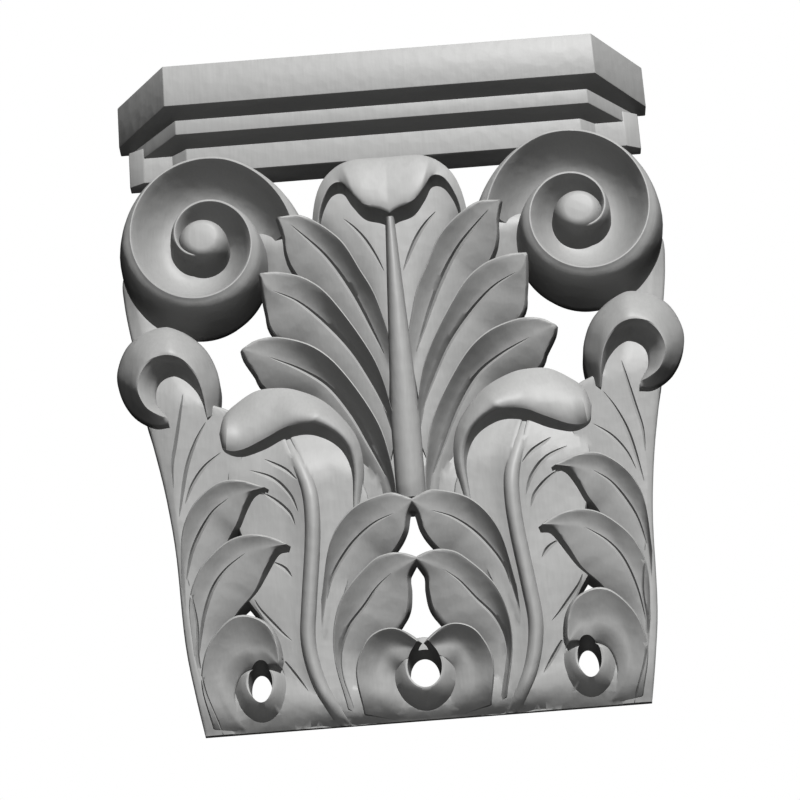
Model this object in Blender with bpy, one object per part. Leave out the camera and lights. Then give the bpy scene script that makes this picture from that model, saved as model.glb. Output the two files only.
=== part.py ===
"""Carved corbel with a stepped abacus, two volutes and three acanthus leaves, as one carved piece.

The piece hangs on a wall: x runs along the wall, the front faces -y and z is up. The origin is on the
flat back, in the middle of the abacus. Sizes are in millimetres here and turned into metres at the end.
"""
import bpy
import bmesh
import math
import numpy as np

# Sizes of the abacus, the moulded block at the top. Each step is set back from the one above it.
STEP_HEIGHTS = (23.0, 8.0, 14.0)
STEP_FRONT_HALF_WIDTHS = (107.5, 103.5, 99.6)
STEP_END_HALF_WIDTHS = (134.0, 129.5, 118.5)
ABACUS_DEPTH = 47.0
STEP_SETBACK = 15.3
FIRST_STEP_RETURN = 9.1
ABACUS_HEIGHT = sum(STEP_HEIGHTS)

# Sizes of the whole carving.
BOTTOM = 339.0
FOOT_ROLL = 14.0
FOOT_EDGE = 1.2
BEHIND_WALL = 6.0

# Sizes of the volutes.
VOLUTE_CENTRE_X = 92.5
VOLUTE_CENTRE_DOWN = 95.2
VOLUTE_START_RADIUS = 46.4
VOLUTE_SHRINK_PER_TURN = 22.0
VOLUTE_TALLER = 1.1
VOLUTE_START_ANGLE = 8.0
VOLUTE_END_ANGLE = 620.0
VOLUTE_RIM_OUT = 41.0
VOLUTE_CHANNEL_DEPTH = 18.0
VOLUTE_WALL_FLARE = 7.0
VOLUTE_KNOB_RADIUS = 12.4
VOLUTE_KNOB_OUT = 43.0

# How far a lobe's lower edge falls behind the next lobe's top edge. The vein lies half way down, and a
# little below that. The two lobes that bend round the eyes are bowls, and keep the heights of their knots.
LOW_EDGE_FALL = {"leaf": 13.0, "inner": 7.0, "corner": 6.0}
VEIN_BELOW = 1.6
EYE_LOBES = ("inner_lobe_3", "corner_lobe_3")

# Sizes of the two pierced eyes at the bottom.
CENTRE_EYE = dict(x=0.0, down=317.0, wide=8.0, high=10.4, ring_wide=15.0, ring_high=18.5, out=13.0)
CORNER_EYE = dict(x=77.5, down=318.5, wide=5.6, high=9.8, ring_wide=12.5, ring_high=16.5, out=12.0)

# The carving is set out in perspective, as a person below it sees it, on a board that stands square to
# the line of sight and touches the abacus's top front edge. x is measured across the board from the
# middle. s is measured down it, over the cosine of the view and less BOARD_START, so that it is close to
# the height on the wall. h is how far the finished point stands out from the wall.
VIEW = math.radians(25.0)
BOARD_START = 25.1
EYE_OUT = 1527.0
EYE_DOWN = 884.0

# Each lobe has a top edge, a vein and a lower edge, as knots (x, s, h) from its tip to its root.
LOBES = {
    "leaf_lobe_1": (
        [(56.1, 62.6, 40), (42.6, 63.2, 39), (26, 76.8, 37.5), (16.7, 94.8, 35.5), (9.8, 110.8, 34),
         (3, 140, 31.5)],
        [(56.1, 62.6, 40), (48, 68.8, 36.5), (33.7, 86.1, 33), (22.1, 107, 31.5), (12.7, 130.5, 30.5),
         (6, 152, 28.5)],
        [(56.1, 62.6, 40), (53.6, 73.4, 39), (53, 83.3, 37.5), (49.3, 94.7, 35.5), (34, 120, 31.5),
         (8, 175, 27)],
    ),
    "leaf_lobe_2": (
        [(66.7, 92.7, 36.5), (57.2, 92.9, 36.5), (43.5, 98, 35.5), (30.9, 111.3, 35),
         (12.8, 145.5, 33.5), (5, 180, 29.5)],
        [(66.7, 92.7, 36.5), (62.9, 101.9, 33.5), (48.9, 110.3, 31.5), (36.3, 123.5, 30),
         (14.8, 159.7, 28.5), (6, 190, 27)],
        [(66.7, 92.7, 36.5), (66.4, 101.6, 35.5), (65.2, 113.8, 34), (62.2, 127.4, 32), (44, 148, 28),
         (10, 205, 23.5)],
    ),
    "leaf_lobe_3": (
        [(78.7, 133.7, 33), (71.3, 129.4, 33.5), (59.7, 128.7, 34), (43.1, 135.1, 34), (29.6, 149.5, 33),
         (14.1, 178.5, 30.5), (8.4, 204.5, 27), (7, 228, 23.5)],
        [(78.7, 133.7, 33), (65.5, 139.3, 29.5), (50.1, 147.8, 28), (37.3, 158.3, 27), (26.9, 174.7, 26),
         (19.1, 192.5, 25), (11.8, 210.3, 23.5), (8, 230, 22)],
        [(78.7, 133.7, 33), (77.5, 139.3, 32), (72.7, 148.6, 30.5), (68.7, 156.7, 28.5), (50, 172, 23.5),
         (30, 196, 22), (16, 222, 20), (9, 234, 20)],
    ),
    "inner_lobe_1": (
        [(-0.6, 223.8, 26), (4.6, 220.9, 26.5), (12.5, 219.1, 27), (30, 225.9, 26), (42.3, 243.6, 23.5),
         (49, 275, 18.5)],
        [(-0.6, 223.8, 26), (9.2, 230.4, 22.5), (19.6, 235.1, 22), (29.7, 243.6, 21),
         (43.3, 264.6, 18.5), (50, 292, 15.5)],
        [(-0.6, 223.8, 26), (2.8, 231.5, 25), (5, 241.3, 24.5), (10.7, 251.3, 22.5), (25, 268, 17.5),
         (48, 305, 13)],
    ),
    "inner_lobe_2": (
        [(-0.6, 256, 23.5), (6.3, 252.8, 24.5), (13.8, 252.2, 25), (23.7, 256.9, 24.5), (39.5, 276, 22),
         (44.9, 302.6, 17.5),
         (40, 335, 11.5)],
        [(-0.6, 256, 23.5), (13.1, 263.3, 19), (20.6, 270.4, 18.5), (27.8, 280.3, 17.5),
         (36.6, 291.7, 16.5), (41, 312, 14),
         (36, 338, 9.5)],
        [(-0.6, 256, 23.5), (4.7, 265.7, 22), (4.8, 274.5, 21), (6.1, 284.9, 20), (11.2, 293.9, 18.5),
         (26, 312, 11.5),
         (30, 338, 9.5)],
    ),
    "inner_lobe_3": (
        [(-0.6, 309, 19), (2.7, 301.3, 21), (12.7, 293.8, 22), (22.3, 294.6, 22), (29.3, 301.2, 21),
         (34.5, 316, 17.5),
         (32, 338, 11.5)],
        [(-0.6, 309, 19), (8, 305, 15.5), (17, 306, 14), (22, 313, 12), (24, 323, 11.5),
         (22, 333, 10.5), (18, 342, 8)],
        [(-0.6, 309, 19), (6, 310.5, 15.5), (11, 313.5, 13), (13.8, 320, 11.5), (13, 328, 10.5),
         (8, 336, 9.5), (2, 343, 7)],
    ),
    "corner_lobe_1": (
        [(73, 210.6, 23.5), (84.7, 205.7, 24.5), (95.3, 205.9, 24.5), (105.8, 213.3, 23.5),
         (112.6, 223.2, 22),
         (116.5, 236.7, 19), (118, 262, 15.5)],
        [(73, 210.6, 23.5), (91.4, 215.1, 20), (101, 223.7, 18.5), (110.8, 241.1, 17), (115.5, 258.4, 15),
         (116.5, 280, 12)],
        [(73, 210.6, 23.5), (78.6, 211.6, 22.5), (83.8, 220.2, 22), (88, 230.3, 21), (92.5, 238.2, 19),
         (104, 262, 15),
         (114, 295, 10.5)],
    ),
    "corner_lobe_2": (
        [(64.3, 242.9, 22), (70, 239, 22.5), (80.4, 235.9, 23), (91.5, 237.8, 22.5), (101.6, 245.2, 22),
         (109.8, 255.5, 20), (115, 272, 16.5), (114.5, 300, 12)],
        [(64.3, 242.9, 22), (75, 244, 19), (85, 246, 18), (95.7, 254.6, 16.5), (103, 265, 15.5),
         (108.6, 281, 13.5),
         (112, 300, 11.5), (111, 325, 8.5)],
        [(64.3, 242.9, 22), (69.5, 245.4, 21), (75.8, 256.3, 20), (81.6, 268.5, 18.5), (91.5, 279.8, 15.5),
         (101, 296, 11.5), (106, 320, 8.5)],
    ),
    "corner_lobe_3": (
        [(72.9, 308.5, 18.5), (72.1, 304.2, 20), (73.8, 292.9, 22), (78.3, 284.8, 22.5),
         (86.5, 280.2, 22.5),
         (94.6, 281.2, 22), (103.2, 289.3, 20), (109.5, 301, 17.5), (112, 318, 13), (108, 340, 8.5)],
        [(72.9, 308.5, 18.5), (77, 303, 17.5), (82, 299, 15.5), (89, 299, 15), (96, 303, 14),
         (101, 311, 12),
         (102, 322, 10.5), (99, 333, 8.5), (92, 343, 7)],
        [(72.9, 308.5, 18.5), (77, 309, 15.5), (82, 309.5, 13), (88, 311, 11.5), (93, 316, 10.5),
         (95.5, 324, 9.5),
         (94, 333, 8.5), (88, 341, 7)],
    ),
}

# Plain sheets of leaf behind the lobes, with the same three curves.
SHEETS = {
    "leaf_top": (
        [(38.1, 64.1, 33), (35.9, 53.3, 35.5), (29, 45, 36.5), (20, 45, 35), (-3, 52, 33)],
        [(34, 80, 21), (27, 74, 28), (19, 70, 31), (12, 72, 31.5), (-3, 80, 30.5)],
        [(28, 96, 17), (20, 104, 18), (12, 114, 22), (6, 124, 25), (-3, 132, 25)],
    ),
    "mid_leaf_outer": (
        [(62, 184, 23), (56, 200, 22.5), (51.5, 215, 22), (51.5, 240, 19), (55, 275, 15.5), (56, 300, 13),
         (51, 325, 10.5), (38, 349, 7)],
        [(74, 187, 21), (70, 203, 19), (66, 220, 17.5), (64, 245, 15.5), (66, 270, 14), (64, 297, 11.5),
         (60, 322, 8.5),
         (52, 349, 6)],
        [(87, 188, 17), (91, 206, 16), (89, 226, 14), (85, 245, 14), (88, 266, 13), (79, 284, 11),
         (74, 300, 10),
         (70, 322, 8), (66, 349, 6)],
    ),
    "mid_leaf_inner": (
        [(60, 188, 23.5), (53, 200, 22.5), (50.5, 215, 22), (50.5, 240, 19), (53, 275, 15.5), (54, 300, 13),
         (50, 325, 10.5), (36, 349, 7)],
        [(48, 184, 20), (42, 200, 20), (39, 213, 19), (40, 232, 17.5), (44, 262, 15), (47, 292, 12),
         (44, 320, 9.5), (30, 349, 6)],
        [(38, 184, 18.5), (29, 200, 18.5), (22, 218, 18.5), (22, 232, 17), (30, 255, 14), (40, 285, 12),
         (38, 318, 8.5), (24, 349, 6)],
    ),
    "heart": (
        [(-3, 196, 9), (14, 196, 9), (30, 200, 9), (50, 205, 10)],
        [(-3, 210, 15), (12, 218, 14), (30, 224, 13), (50, 230, 13)],
        [(-3, 217, 13), (10, 230, 12), (24, 258, 10), (50, 285, 9)],
    ),
    "corner_leaf": (
        [(128, 145, 14), (131, 158, 16), (127.5, 178, 15), (124, 200, 13), (121.5, 220, 12),
         (119.5, 246, 11.5),
         (118.5, 292, 9.5), (115.5, 321, 8), (111.5, 349, 5)],
        [(115, 138, 14), (112, 156, 19.5), (114, 178, 17.5), (117, 197, 15.5), (118, 215, 14),
         (116.5, 246, 12.5),
         (115.5, 292, 10.5), (112, 321, 8.5), (106, 349, 6)],
        [(103, 147, 14), (96, 164, 18.5), (84, 168, 18), (81, 188, 16.5), (88, 207, 14), (99, 230, 11.5),
         (106, 270, 9), (104, 320, 7.5), (96, 349, 6)],
    ),
    "shoulder": (
        [(48, 62, 24), (48, 72, 22), (50, 80, 20), (54, 89, 18)],
        [(58, 58, 26), (60, 70, 22), (61, 79, 19), (62, 89, 17)],
        [(76, 64, 23), (72, 74, 20), (70, 82, 18), (68, 90, 16)],
    ),
    "foot": (
        [(-3, 332, 4), (30, 330, 4.5), (58, 316, 6), (72, 304, 6.5), (90, 306, 6), (104, 310, 6),
         (113, 320, 5)],
        [(-3, 342, 6), (30, 341, 6), (58, 334, 7), (70, 328, 7), (86, 328, 7), (102, 332, 7),
         (112, 334, 5.5)],
        [(-3, 350, 5), (30, 350, 5), (55, 350, 5), (70, 350, 5), (86, 350, 5), (100, 350, 5),
         (111, 350, 4.5)],
    ),
    "stalk": (
        [(131, 82, 12), (135.5, 92, 10.5), (135.5, 105, 9.5), (134, 120, 9.5), (131, 140, 9.5)],
        [(126, 86, 15.5), (130, 96, 14), (129, 107, 13), (127, 121, 12), (122, 140, 12)],
        [(112, 92, 10.5), (116, 102, 10.5), (116, 112, 10.5), (114, 124, 10.5), (110, 140, 10.5)],
    ),
}

# Round-backed forms, as pairs of edges with a crown between them. The last number is the crown's rise.
BEAN = (
    [(93.4, 179.5, 23.5), (90.2, 169.8, 25), (83.2, 163.2, 27), (73.3, 157.4, 28), (62.2, 156.7, 28.5),
     (53.3, 158.6, 28.5), (41.7, 164.6, 28), (32.4, 174.2, 27), (25.6, 185.3, 26), (22.9, 196.6, 24.5),
     (23.2, 208.2, 22), (26.5, 226, 18.5)],
    [(93.4, 179.5, 23.5), (92, 188, 19), (86.5, 194.5, 15.5), (80.1, 196.1, 15), (71.9, 194.6, 15.5),
     (63.5, 189.2, 17.5), (55.2, 184.4, 19), (48.1, 183.4, 20), (39.3, 187.5, 20), (32.9, 195.8, 19),
     (29.7, 207.1, 18.5), (30, 226, 16.5)],
    12.0,
)
HOOK = (
    [(118.2, 171.8, 24), (126, 171.9, 21), (135.1, 165.4, 15.5), (140.8, 154.4, 13), (141.9, 142.1, 13),
     (136.5, 128.7, 15), (127.4, 121.2, 17.5), (115.7, 118.4, 19), (106, 123.1, 17.5), (97.6, 131.5, 15),
     (92.8, 141.9, 13), (91.1, 153.1, 13), (93.4, 167.8, 14)],
    [(118.8, 168, 25), (122.5, 166.6, 28), (128.8, 161.5, 30.5), (132.3, 152, 31.5), (130.5, 143.6, 32),
     (126, 137.3, 33), (120.5, 135, 33), (115, 135, 33), (109.5, 137.5, 32), (105, 143, 30.5),
     (101.8, 149.4, 28.5), (99.8, 159, 25), (98.8, 170, 21)],
    9.0,
)
STEM = [(69, 172, 12), (62, 186, 17.5), (55.5, 198.3, 23.5), (51.2, 212.1, 25), (50.2, 227, 25),
        (51.5, 246.3, 23),
        (55, 275, 19.5), (57, 296.5, 16.5), (54.5, 315.3, 14), (48.8, 331.3, 11.5), (38, 350, 8)]
STEM_HALF_WIDTH = 3.9
MIDRIB = [(0, 58, 40), (0, 80, 40), (0, 100, 39.5), (0, 140, 36.5), (0, 179, 32), (0, 212, 27.5),
          (0, 222, 25)]
MIDRIB_HALF_WIDTHS = (1.8, 7.4)
CURL_TOP = [(-1, 34.4, 40), (9, 34.2, 40), (17, 34.4, 40), (24, 37, 39), (30, 42, 38.5), (34, 48, 37.5),
            (36.8, 56, 36), (38.6, 66, 33.5), (38.8, 74, 31)]
CURL_LIP = [(-1, 66.4, 43.5), (4.5, 63.2, 44), (12.3, 60.3, 44), (18.3, 53.1, 43), (22.3, 46.8, 42),
            (27.5, 47.8, 41), (31.8, 54.5, 39.5), (34.9, 64, 37), (35.6, 74, 34)]
CURL_CROWN = 4.0


def smooth(knots, count):
    """Points spread evenly along a smooth curve through the knots."""
    k = np.array(knots, float)
    k = np.vstack([2 * k[0] - k[1], k, 2 * k[-1] - k[-2]])
    dense = []
    for i in range(1, len(k) - 2):
        a, b, c, d = k[i - 1:i + 3]
        for t in np.linspace(0, 1, 10, endpoint=False):
            dense.append(0.5 * (2 * b + (c - a) * t + (2 * a - 5 * b + 4 * c - d) * t ** 2
                                + (3 * b - a - 3 * c + d) * t ** 3))
    dense = np.array(dense + [k[-2]])
    run = np.concatenate([[0], np.cumsum(np.linalg.norm(np.diff(dense[:, :2], axis=0), axis=1))])
    at = np.linspace(0, run[-1], count)
    return np.column_stack([np.interp(at, run, dense[:, i]) for i in range(3)])


def knotted(knots, per_span):
    """Points of the same curve with the same number in every span, so that two such curves pair up."""
    k = np.array(knots, float)
    k = np.vstack([2 * k[0] - k[1], k, 2 * k[-1] - k[-2]])
    points = []
    for i in range(1, len(k) - 2):
        a, b, c, d = k[i - 1:i + 3]
        for t in np.linspace(0, 1, per_span, endpoint=False):
            points.append(0.5 * (2 * b + (c - a) * t + (2 * a - 5 * b + 4 * c - d) * t ** 2
                                 + (3 * b - a - 3 * c + d) * t ** 3))
    return np.array(points + [k[-2]])


def foot_roll(down):
    """Share of its height that a point keeps, falling to nothing in a round at the bottom edge."""
    into = min(max((down - (BOTTOM - FOOT_ROLL)) / FOOT_ROLL, 0.0), 1.0)
    return math.sqrt(1 - into ** 2)


def place(x, down, out):
    """A point at its real place in metres: x along the wall, down from the top, out from the wall."""
    if out > 0:
        out = max(out * foot_roll(down), FOOT_EDGE)
    return (x / 1000, -out / 1000, (ABACUS_HEIGHT / 2 - down) / 1000)


def seen(point):
    """The point at h out from the wall that the eye sees behind (x, s) on the board."""
    x, s, h = point
    across = (s + BOARD_START) * math.cos(VIEW)
    board_out, board_down = ABACUS_DEPTH - across * math.sin(VIEW), across * math.cos(VIEW)
    t = (EYE_OUT - h) / (EYE_OUT - board_out)
    return place(x * t, EYE_DOWN + (board_down - EYE_DOWN) * t, h)


def body(name, rows, flare=0.0):
    """A closed solid whose front is a grid of placed points and whose sides run back behind the wall."""
    mesh = bmesh.new()
    grid = [[mesh.verts.new(p) for p in row] for row in rows]
    for a, b in zip(grid, grid[1:]):
        for i in range(len(a) - 1):
            mesh.faces.new((a[i], a[i + 1], b[i + 1], b[i]))
    ring = grid[0] + [row[-1] for row in grid[1:]] + grid[-1][-2::-1] + [row[0] for row in grid[-2:0:-1]]
    plan = np.array([(v.co.x, v.co.z) for v in ring])
    middle = plan.mean(axis=0)
    back = []
    for v, p in zip(ring, plan):
        away = (p - middle) / (np.linalg.norm(p - middle) + 1e-9) * flare / 1000
        back.append(mesh.verts.new((p[0] + away[0], BEHIND_WALL / 1000, p[1] + away[1])))
    n = len(ring)
    for i in range(n):
        mesh.faces.new((ring[(i + 1) % n], ring[i], back[i], back[(i + 1) % n]))
    mesh.faces.new(back)
    bmesh.ops.remove_doubles(mesh, verts=mesh.verts, dist=2e-5)
    bmesh.ops.dissolve_degenerate(mesh, edges=mesh.edges, dist=1e-6)
    bmesh.ops.recalc_face_normals(mesh, faces=mesh.faces)
    data = bpy.data.meshes.new(name)
    mesh.to_mesh(data)
    mesh.free()
    made = bpy.data.objects.new(name, data)
    bpy.context.scene.collection.objects.link(made)
    return made


def blade(name, top, vein, low, steps, hollow=0.3):
    """A leaf lobe: two raised edges and a hollow between them along the vein."""
    rows = []
    falls = name in LOBES and name not in EYE_LOBES
    shares = np.linspace(0, 1, steps)
    for share, a, b, c in zip(shares, smooth(top, steps), smooth(vein, steps), smooth(low, steps)):
        if falls:
            sunk = min(1.0, 2.6 * share) * (1 - 0.6 * min(1.0, max(0.0, (share - 0.65) / 0.35)))
            c[2] = max(c[2] - LOW_EDGE_FALL[name.split("_")[0]] * sunk, 4.0)
            b[2] = (a[2] + c[2]) / 2 - VEIN_BELOW * min(1.0, 5 * share)
        ab, bc = (a + b) / 2, (b + c) / 2
        ab[2] = b[2] + (a[2] - b[2]) * hollow
        bc[2] = b[2] + (c[2] - b[2]) * hollow
        rows.append([seen(p) for p in (a, ab, b, bc, c)])
    return body(name, rows)


def pillow(name, first, second, crown, per_span, shares=(0, 0.2, 0.5, 0.8, 1)):
    """A round-backed form between two edges."""
    rows = []
    for a, b in zip(knotted(first, per_span), knotted(second, per_span)):
        width = np.linalg.norm((a - b)[:2])
        rise = crown * min(1.0, width / 20.0) ** 2
        points = []
        for v in shares:
            p = a + (b - a) * v
            p[2] += rise * math.sqrt(max(0.0, 1 - (2 * v - 1) ** 2))
            points.append(seen(p))
        rows.append(points)
    return body(name, rows)


def ridge(name, path, half_widths, steps, rise=4.5):
    """A round rib along a path, with its flanks run into the ground."""
    line = smooth(path, steps)
    along = np.gradient(line[:, :2], axis=0)
    along /= np.linalg.norm(along, axis=1)[:, None]
    rows = []
    for i, p in enumerate(line):
        half = half_widths[0] + (half_widths[1] - half_widths[0]) * min(1.0, i / (steps - 1) * 1.35)
        row = []
        for angle in (0, 40, 90, 140, 180):
            side = math.cos(math.radians(angle)) * half
            lift = (math.sin(math.radians(angle)) - 1) * rise
            row.append(seen((p[0] - along[i][1] * side, p[1] + along[i][0] * side, p[2] + lift)))
        rows.append(row)
    return body(name, rows)


def spiral_radius(angle):
    return VOLUTE_START_RADIUS - VOLUTE_SHRINK_PER_TURN * angle / 360


def volute_piece(name, start, end, steps, rim_shift):
    """Part of the spiral: outer wall, narrow rim, and the channel that falls towards the middle."""
    rows = []
    for angle in np.linspace(start, end, steps):
        r = spiral_radius(angle)
        rim = VOLUTE_RIM_OUT - 6 * max(0.0, 1 - angle / 70) + rim_shift
        upward = max(0.0, math.sin(math.radians(angle)))
        flare = VOLUTE_WALL_FLARE * min(1.0, r / 28) * (1 - 0.8 * upward)
        foot = max(spiral_radius(angle + 360) + 4, 3.0)
        floor = rim - VOLUTE_CHANNEL_DEPTH
        section = [(r + flare, 14), (r + flare * 0.85, 24), (r + flare * 0.35, rim - 4), (r, rim),
                   (r - 1.2, rim),
                   (r + (foot - r) * 0.35, rim - VOLUTE_CHANNEL_DEPTH * 0.6), (foot, floor),
                   (2.0, floor - 1)]
        turn = math.radians(angle)
        side, up = math.cos(turn), VOLUTE_TALLER * math.sin(turn)
        rows.append([place(VOLUTE_CENTRE_X - q * side, VOLUTE_CENTRE_DOWN - q * up, out) for q, out in section])
    return body(name, rows)


def turned(name, x, down, profile, steps, taller=1.0):
    """A round form about an axis that stands out from the wall; the profile goes from the middle outwards."""
    mesh = bmesh.new()
    rings = []
    for r, out in profile:
        if r == 0:
            rings.append([mesh.verts.new(place(x, down, out))])
            continue
        ring = []
        for i in range(steps):
            turn = 2 * math.pi * i / steps
            across, lower = r * math.cos(turn), r * taller * math.sin(turn)
            ring.append(mesh.verts.new(place(x + across, down + lower, out)))
        rings.append(ring)
    for a, b in zip(rings, rings[1:]):
        for i in range(steps):
            j = (i + 1) % steps
            if len(a) == 1:
                mesh.faces.new((a[0], b[i], b[j]))
            else:
                mesh.faces.new((a[i], b[i], b[j], a[j]))
    mesh.faces.new(rings[-1])
    bmesh.ops.recalc_face_normals(mesh, faces=mesh.faces)
    data = bpy.data.meshes.new(name)
    mesh.to_mesh(data)
    mesh.free()
    made = bpy.data.objects.new(name, data)
    bpy.context.scene.collection.objects.link(made)
    return made


def prism(name, outline, low, high):
    """A straight prism in plan: the outline is (x, out), and it runs from low to high, down from the top."""
    mesh = bmesh.new()
    levels = []
    for down in (low, high):
        z = (ABACUS_HEIGHT / 2 - down) / 1000
        levels.append([mesh.verts.new((x / 1000, -out / 1000, z)) for x, out in outline])
    n = len(outline)
    for i in range(n):
        mesh.faces.new((levels[0][i], levels[0][(i + 1) % n], levels[1][(i + 1) % n], levels[1][i]))
    mesh.faces.new(levels[0])
    mesh.faces.new(levels[1][::-1])
    bmesh.ops.recalc_face_normals(mesh, faces=mesh.faces)
    data = bpy.data.meshes.new(name)
    mesh.to_mesh(data)
    mesh.free()
    made = bpy.data.objects.new(name, data)
    bpy.context.scene.collection.objects.link(made)
    return made


def eye_cutter(name, eye):
    """An oval pin that pierces an eye, a little wider at the front."""
    mesh = bmesh.new()
    rings = []
    for out, grow in ((-20.0, 0.9), (0.0, 0.9), (40.0, 1.12)):
        ring = []
        for i in range(20):
            turn = 2 * math.pi * i / 20
            x = eye["x"] + eye["wide"] * grow * math.cos(turn)
            down = eye["down"] + eye["high"] * grow * math.sin(turn)
            ring.append(mesh.verts.new((x / 1000, -out / 1000, (ABACUS_HEIGHT / 2 - down) / 1000)))
        rings.append(ring)
    for a, b in zip(rings, rings[1:]):
        for i in range(20):
            mesh.faces.new((a[i], a[(i + 1) % 20], b[(i + 1) % 20], b[i]))
    mesh.faces.new(rings[0])
    mesh.faces.new(rings[-1][::-1])
    bmesh.ops.recalc_face_normals(mesh, faces=mesh.faces)
    data = bpy.data.meshes.new(name)
    mesh.to_mesh(data)
    mesh.free()
    made = bpy.data.objects.new(name, data)
    bpy.context.scene.collection.objects.link(made)
    return made


def combine(target, other, operation):
    """One Boolean step, applied at once so that the next one works on its result."""
    step = target.modifiers.new(operation.lower(), "BOOLEAN")
    step.operation = operation
    step.solver = "EXACT"
    step.use_self = True
    step.object = other
    graph = bpy.context.evaluated_depsgraph_get()
    data = bpy.data.meshes.new_from_object(target.evaluated_get(graph))
    target.modifiers.clear()
    old = target.data
    target.data = data
    bpy.data.meshes.remove(old)
    bpy.data.objects.remove(other)


def main():
    for old in list(bpy.data.objects):
        bpy.data.objects.remove(old, do_unlink=True)

    # The abacus: three steps, each overlapping the one above.
    outs = [ABACUS_DEPTH - STEP_SETBACK * i for i in range(3)]
    plans = []
    for i in range(3):
        front, end = STEP_FRONT_HALF_WIDTHS[i], STEP_END_HALF_WIDTHS[i]
        side = FIRST_STEP_RETURN if i == 0 else 0.5
        plans.append([(-20, outs[i]), (front, outs[i]), (end, side), (end, -BEHIND_WALL),
                      (-20, -BEHIND_WALL)])
    corbel = prism("carved_corbel", plans[0], 0, STEP_HEIGHTS[0])
    parts = [
        prism("step_2", plans[1], 5, STEP_HEIGHTS[0] + STEP_HEIGHTS[1]),
        prism("step_3", plans[2], 7, ABACUS_HEIGHT),
        prism("neck", [(62, 10), (122, 10), (129.5, 6), (129.5, -7), (62, -7)], 25, 45.5),
        prism("core", [(-20, 14), (18, 14), (18, -8), (-20, -8)], 34, 80),
    ]

    # The volutes.
    parts.append(volute_piece("volute_1", VOLUTE_START_ANGLE, 190, 13, 0))
    parts.append(volute_piece("volute_2", 184, 372, 13, 0))
    parts.append(volute_piece("volute_3", 366, 500, 9, 0.5))
    parts.append(volute_piece("volute_4", 494, VOLUTE_END_ANGLE, 8, 0.7))
    knob_sides = [(0, 0), (0.52, 0), (0.78, 2.0), (0.94, 6.0), (1.0, 11.0)]
    knob = [(VOLUTE_KNOB_RADIUS * r, VOLUTE_KNOB_OUT - drop) for r, drop in knob_sides]
    knob.append((VOLUTE_KNOB_RADIUS + 0.6, -9))
    parts.append(turned("knob", VOLUTE_CENTRE_X, VOLUTE_CENTRE_DOWN, knob, 14))

    # The raised rings round the eyes.
    for name, eye in (("centre_ring", CENTRE_EYE), ("corner_ring", CORNER_EYE)):
        wide, out = eye["ring_wide"], eye["out"]
        crest = eye["wide"] + 1.5
        profile = [(0, out + 1.5), (crest, out + 2), ((crest + wide) / 2, out - 0.4), (wide, out - 4),
                   (wide + 0.6, -9)]
        parts.append(turned(name, eye["x"], eye["down"], profile, 20, eye["ring_high"] / wide))

    # The leaves.
    for name, curves in {**SHEETS, **LOBES}.items():
        parts.append(blade(name, *curves, steps=9))
    parts.append(pillow("bean", *BEAN, per_span=2))
    parts.append(pillow("hook", *HOOK, per_span=2))
    parts.append(pillow("curl", CURL_TOP, CURL_LIP, CURL_CROWN, per_span=1))
    parts.append(ridge("stem", STEM, (STEM_HALF_WIDTH, STEM_HALF_WIDTH), 14))
    parts.append(ridge("midrib", MIDRIB, MIDRIB_HALF_WIDTHS, 10, rise=6.0))

    for other in parts:
        combine(corbel, other, "UNION")
    for name, eye in (("centre_eye", CENTRE_EYE), ("corner_eye", CORNER_EYE)):
        combine(corbel, eye_cutter(name, eye), "DIFFERENCE")

    # The half is trimmed to the wall, the centre line and the bottom edge, then mirrored.
    room = prism("room", [(0, 100), (200, 100), (200, 0), (0, 0)], -10, BOTTOM)
    combine(corbel, room, "INTERSECT")
    half = bmesh.new()
    half.from_mesh(corbel.data)
    bmesh.ops.remove_doubles(half, verts=half.verts, dist=1e-6)
    cap = [f for f in half.faces if all(abs(v.co.x) < 2e-6 for v in f.verts)]
    bmesh.ops.delete(half, geom=cap, context="FACES")
    half.to_mesh(corbel.data)
    half.free()
    for v in corbel.data.vertices:
        if abs(v.co.x) < 2e-6:
            v.co.x = 0
    mirror = corbel.modifiers.new("mirror", "MIRROR")
    mirror.use_mirror_merge = True
    mirror.merge_threshold = 0.00001

    finish = bpy.data.materials.new("grey_carved_wood")
    finish.use_nodes = True
    shader = finish.node_tree.nodes["Principled BSDF"]
    shader.inputs["Base Color"].default_value = (0.42, 0.42, 0.41, 1)
    shader.inputs["Roughness"].default_value = 0.5
    shader.inputs["Metallic"].default_value = 0.0
    corbel.data.materials.clear()
    corbel.data.materials.append(finish)


main()
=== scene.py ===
# %% [markdown]
# A carved corbel in Blender, as a lesson. The object is one block of wood that a carver has cut into
# a stepped abacus, two volutes and three acanthus leaves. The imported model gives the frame: the same
# carving in broad facets, in metres, with its flat back on the wall. This script carves the fine form
# over it, gives it its finish, and lights it.

# %% Load the frame
import math

import bmesh
import bpy
import numpy as np
from mathutils import Matrix, Vector
from mathutils.bvhtree import BVHTree


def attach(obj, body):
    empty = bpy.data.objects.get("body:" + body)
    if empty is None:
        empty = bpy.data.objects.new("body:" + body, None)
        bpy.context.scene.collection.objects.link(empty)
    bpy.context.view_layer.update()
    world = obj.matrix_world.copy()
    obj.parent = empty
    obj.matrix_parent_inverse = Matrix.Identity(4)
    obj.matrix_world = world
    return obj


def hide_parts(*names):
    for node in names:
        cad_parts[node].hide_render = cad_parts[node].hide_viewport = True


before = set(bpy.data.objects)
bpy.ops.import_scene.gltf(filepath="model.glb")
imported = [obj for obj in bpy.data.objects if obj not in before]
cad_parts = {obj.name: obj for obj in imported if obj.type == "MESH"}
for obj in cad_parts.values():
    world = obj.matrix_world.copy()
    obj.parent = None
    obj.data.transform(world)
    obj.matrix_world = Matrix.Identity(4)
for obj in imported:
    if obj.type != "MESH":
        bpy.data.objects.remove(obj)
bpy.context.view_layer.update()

scene = bpy.context.scene

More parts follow.
